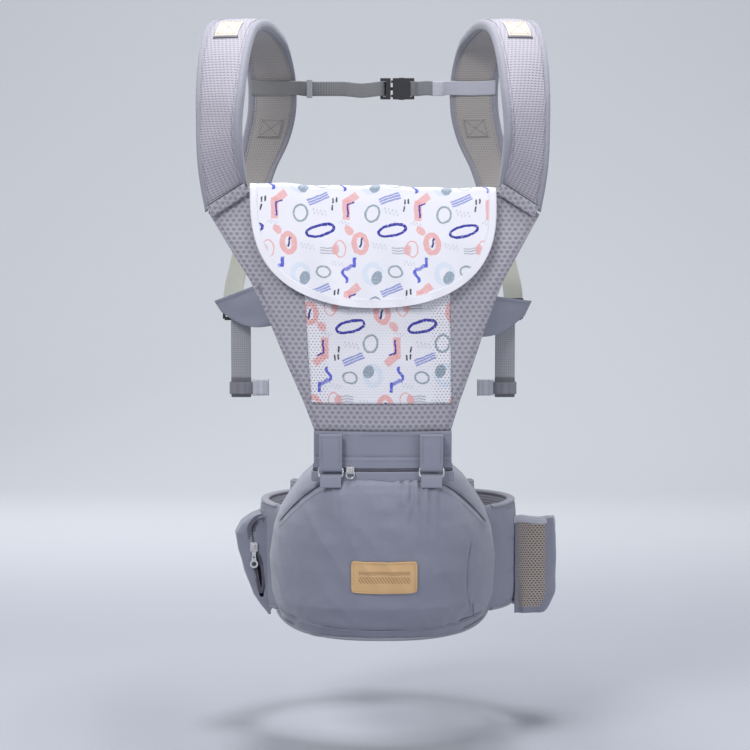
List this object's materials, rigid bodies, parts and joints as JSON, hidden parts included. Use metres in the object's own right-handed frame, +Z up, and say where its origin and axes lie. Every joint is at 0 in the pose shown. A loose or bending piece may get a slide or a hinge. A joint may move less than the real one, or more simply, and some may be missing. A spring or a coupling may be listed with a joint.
{
  "type": "soft baby carrier",
  "caption": "Hip-seat baby carrier: padded waist belt with a foam stool, zip-on front panel with flip-up bib, padded shoulder straps and chest strap.",
  "frame": {"origin": "centre of the waist opening, level with the underside of the stool", "axes": "+Z up the wearer's body, +X to the wearer's left as seen from the front, +Y from the front panel towards the wearer's back"},
  "size_m": [0.4644, 0.4082, 0.7915],
  "materials": {
    "cotton": "woven cotton, blue-grey",
    "air_mesh": "knitted spacer mesh, blue-grey",
    "lining": "soft warm-grey lining with small dots",
    "printed": "white cotton with a loose printed pattern",
    "foam": "open-cell foam",
    "core": "expanded foam block",
    "webbing": "woven nylon webbing",
    "elastic": "flat knitted elastic",
    "patch": "cream webbing",
    "pocket_mesh": "taupe open mesh",
    "label": "tan leather",
    "buckle": "moulded, fine grain",
    "zip": "woven zip tape with moulded coil",
    "metal": "nickel plated"
  },
  "bodies": {
    "hip_seat": {"stool_core": "core", "stool_cover": "cotton", "seat_pad": "cotton", "belly_pad": "air_mesh", "label_patch": "label", "tab_straps": "cotton", "snap_studs": "metal", "tab_rings": "metal", "ring_anchors": "cotton", "main_zip": "zip", "base_band": "cotton"},
    "zip_slider": {"zip_slider": "metal"},
    "zip_ring": {"zip_ring": "metal"},
    "tab_flap_left": {"tab_flap_left": "cotton"},
    "tab_flap_right": {"tab_flap_right": "cotton"},
    "panel": {"panel_shell": "air_mesh", "panel_foam": "foam", "panel_lining": "lining", "panel_window": "printed", "side_wings": "cotton"},
    "bib": {"bib": "printed"},
    "tail_left": {"lock_left": "buckle", "tail_left": "webbing"},
    "tail_right": {"lock_right": "buckle", "tail_right": "webbing"},
    "keeper_left": {"keeper_left": "elastic"},
    "keeper_right": {"keeper_right": "elastic"},
    "strap_left": {"strap_left_shell": "air_mesh", "strap_left_foam": "foam", "strap_left_lining": "lining", "strap_left_binding": "cotton", "strap_left_patch": "patch", "strap_left_webbing": "webbing", "chest_web_left": "webbing", "chest_plug": "buckle"},
    "strap_right": {"strap_right_shell": "air_mesh", "strap_right_foam": "foam", "strap_right_lining": "lining", "strap_right_binding": "cotton", "strap_right_patch": "patch", "strap_right_webbing": "webbing", "chest_web_right": "webbing", "chest_socket": "buckle"},
    "chest_glide": {"chest_glide": "buckle"},
    "chest_prong_upper": {"chest_prong_upper": "buckle"},
    "chest_prong_lower": {"chest_prong_lower": "buckle"},
    "belt_left": {"belt_left_cover": "cotton", "belt_left_foam": "foam", "zip_pocket": "cotton", "belt_web_left": "webbing", "belt_plug": "buckle"},
    "belt_right": {"belt_right_cover": "cotton", "belt_right_foam": "foam", "mesh_pocket": "pocket_mesh", "belt_web_right": "webbing", "belt_socket": "buckle"},
    "belt_prong_upper": {"belt_prong_upper": "buckle"},
    "belt_prong_lower": {"belt_prong_lower": "buckle"},
    "pocket_slider": {"pocket_slider": "metal"},
    "pocket_pull": {"pocket_pull": "metal"}
  },
  "joints": [
    {"name": "zip_run", "type": "slide", "parent": "hip_seat", "child": "zip_slider", "axis": [1, 0, 0], "range_m": [0, 0.076]},
    {"name": "zip_pull_lift", "type": "hinge", "parent": "zip_slider", "child": "zip_ring", "pos_m": [-0.028, -0.25455, 0.218], "axis": [-1, 0, 0], "range_deg": [0, 85]},
    {"name": "panel_fold", "type": "hinge", "parent": "hip_seat", "child": "panel", "pos_m": [0.012, -0.252, 0.2639], "axis": [1, 0, 0], "range_deg": [0, 95]},
    {"name": "bib_flip", "type": "hinge", "parent": "panel", "child": "bib", "pos_m": [0, -0.213, 0.5723], "axis": [-1, 0, 0], "range_deg": [0, 165]},
    {"name": "strap_right_swing", "type": "hinge", "parent": "panel", "child": "strap_right", "pos_m": [0.1835, -0.19, 0.5545], "axis": [-0.0527, 0.1898, -0.9804], "range_deg": [0, 50]},
    {"name": "strap_left_swing", "type": "hinge", "parent": "panel", "child": "strap_left", "pos_m": [-0.1835, -0.19, 0.5545], "axis": [-0.0527, -0.1898, 0.9804], "range_deg": [0, 50]},
    {"name": "belt_right_open", "type": "hinge", "parent": "hip_seat", "child": "belt_right", "pos_m": [0.161, -0.056, 0.08], "axis": [0, 0, -1], "range_deg": [0, 50]},
    {"name": "belt_left_open", "type": "hinge", "parent": "hip_seat", "child": "belt_left", "pos_m": [-0.1334, -0.046, 0.08], "axis": [0, 0, 1], "range_deg": [0, 50]},
    {"name": "chest_length", "type": "slide", "parent": "strap_left", "child": "chest_glide", "axis": [1, 0, 0], "range_m": [0, 0.05]},
    {"name": "pocket_zip_run", "type": "slide", "parent": "belt_left", "child": "pocket_slider", "axis": [0.1434, 0, -0.9897], "range_m": [0, 0.051]},
    {"name": "pocket_pull_lift", "type": "hinge", "parent": "pocket_slider", "child": "pocket_pull", "pos_m": [-0.159, -0.04665, 0.087], "axis": [-1, 0, 0], "range_deg": [0, 45]},
    {"name": "tab_left_open", "type": "hinge", "parent": "hip_seat", "child": "tab_flap_left", "pos_m": [-0.052, -0.25622, 0.22415], "axis": [1, 0, 0], "range_deg": [0, 150]},
    {"name": "tail_left_swing", "type": "hinge", "parent": "panel", "child": "tail_left", "pos_m": [-0.172, -0.179, 0.413], "axis": [1, 0, 0], "range_deg": [-6, 35]},
    {"name": "keeper_left_slide", "type": "slide", "parent": "tail_left", "child": "keeper_left", "axis": [0, 0, 1], "range_m": [0, 0.04]},
    {"name": "tab_right_open", "type": "hinge", "parent": "hip_seat", "child": "tab_flap_right", "pos_m": [0.072, -0.25682, 0.22415], "axis": [1, 0, 0], "range_deg": [0, 150]},
    {"name": "tail_right_swing", "type": "hinge", "parent": "panel", "child": "tail_right", "pos_m": [0.172, -0.179, 0.413], "axis": [1, 0, 0], "range_deg": [-6, 35]},
    {"name": "keeper_right_slide", "type": "slide", "parent": "tail_right", "child": "keeper_right", "axis": [0, 0, 1], "range_m": [0, 0.04]},
    {"name": "chest_prong_upper_squeeze", "type": "hinge", "parent": "strap_left", "child": "chest_prong_upper", "pos_m": [0.0246, 0.107, 0.7108], "axis": [0, 1, 0], "range_deg": [0, 8], "stiffness_Nm_per_rad": 0.4},
    {"name": "chest_prong_lower_squeeze", "type": "hinge", "parent": "strap_left", "child": "chest_prong_lower", "pos_m": [0.0246, 0.107, 0.6912], "axis": [0, -1, 0], "range_deg": [0, 8], "stiffness_Nm_per_rad": 0.4},
    {"name": "belt_prong_upper_squeeze", "type": "hinge", "parent": "belt_left", "child": "belt_prong_upper", "pos_m": [-0.0071, 0.1395, 0.1048], "axis": [0, 1, 0], "range_deg": [0, 8], "stiffness_Nm_per_rad": 0.8},
    {"name": "belt_prong_lower_squeeze", "type": "hinge", "parent": "belt_left", "child": "belt_prong_lower", "pos_m": [-0.0071, 0.1395, 0.0672], "axis": [0, -1, 0], "range_deg": [0, 8], "stiffness_Nm_per_rad": 0.8}
  ],
  "couplings": [
    {"joint": "strap_left_swing", "follows": "strap_right_swing", "ratio": 1},
    {"joint": "belt_left_open", "follows": "belt_right_open", "ratio": 1}
  ]
}
